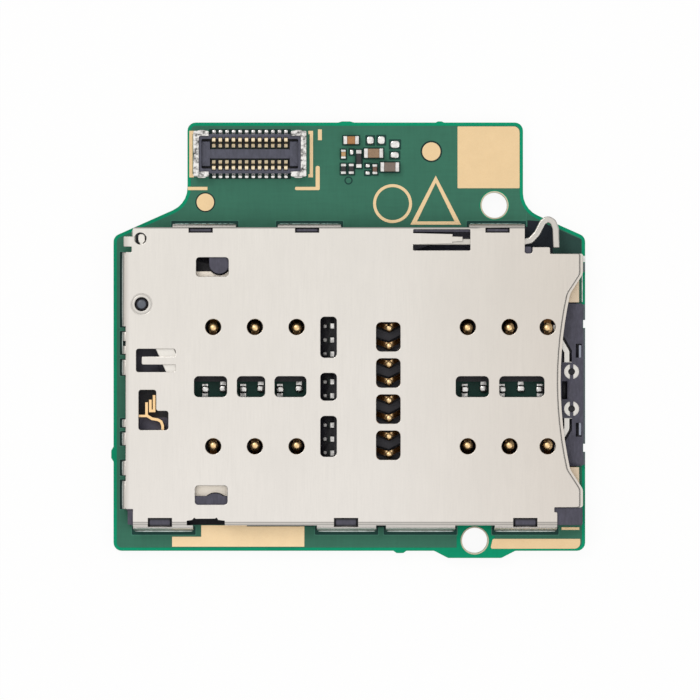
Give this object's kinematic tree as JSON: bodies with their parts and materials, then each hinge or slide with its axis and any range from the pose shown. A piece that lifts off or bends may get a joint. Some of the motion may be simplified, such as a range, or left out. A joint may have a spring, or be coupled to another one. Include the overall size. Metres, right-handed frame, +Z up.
{
  "type": "card socket board",
  "caption": "Small circuit board with a steel-shelled card tray reader, eject rod and lever, board connector and locating holes.",
  "frame": {"origin": "under the middle of the board, on its lower face", "axes": "+X out of the tray mouth, +Y towards the board connector, +Z up from the board"},
  "size_m": [0.029, 0.0266, 0.0022],
  "materials": {
    "board_mask": "green solder mask over glass laminate",
    "gold_plate": "flat gold plating",
    "shell_steel": "satin stainless sheet",
    "insulator": "moulded black insulator",
    "floor_steel": "plain stainless sheet",
    "spring_steel": "bright spring steel",
    "rod_steel": "blanked steel",
    "gold_spring": "gold-plated spring copper",
    "connector_plastic": "moulded black plastic",
    "tin_plate": "tin plate and solder",
    "ceramic_brown": "fired brown ceramic",
    "ceramic_black": "black glazed ceramic"
  },
  "bodies": {
    "board": {"circuit_board": "board_mask", "gold_pads": "gold_plate", "reader_shell": "shell_steel", "contact_base": "insulator", "floor_plate": "floor_steel", "mouth_spring": "spring_steel", "detect_spring": "gold_spring", "detect_contact": "gold_spring", "card_a_contact_1": "gold_spring", "card_a_contact_2": "gold_spring", "card_a_contact_3": "gold_spring", "card_a_contact_4": "gold_spring", "card_a_contact_5": "gold_spring", "card_a_contact_6": "gold_spring", "card_b_contact_1": "gold_spring", "card_b_contact_2": "gold_spring", "card_b_contact_3": "gold_spring", "card_b_contact_4": "gold_spring", "card_b_contact_5": "gold_spring", "card_b_contact_6": "gold_spring", "memory_contact_1": "gold_spring", "memory_contact_2": "gold_spring", "memory_contact_3": "gold_spring", "memory_contact_4": "gold_spring", "memory_contact_5": "gold_spring", "memory_contact_6": "gold_spring", "memory_contact_7": "gold_spring", "memory_contact_8": "gold_spring", "connector_housing": "connector_plastic", "connector_contacts": "gold_spring", "connector_clip_left": "tin_plate", "connector_clip_right": "tin_plate", "capacitor_bodies": "ceramic_brown", "resistor_bodies": "ceramic_black", "chip_ends": "tin_plate", "solder_pads": "tin_plate"},
    "rod": {"push_rod": "rod_steel"},
    "lever": {"eject_lever": "rod_steel"}
  },
  "joints": [
    {"name": "push_rod_slide", "type": "slide", "parent": "board", "child": "rod", "axis": [1, 0, 0], "range_m": [0, 0.0016]},
    {"name": "lever_pivot", "type": "hinge", "parent": "board", "child": "lever", "pos_m": [-0.01258, 0.00216, 0.0019], "axis": [0, 0, 1], "range_deg": [-23.8, 0]}
  ],
  "couplings": [
    {"joint": "lever_pivot", "follows": "push_rod_slide", "rad_per_m": -257.2}
  ]
}
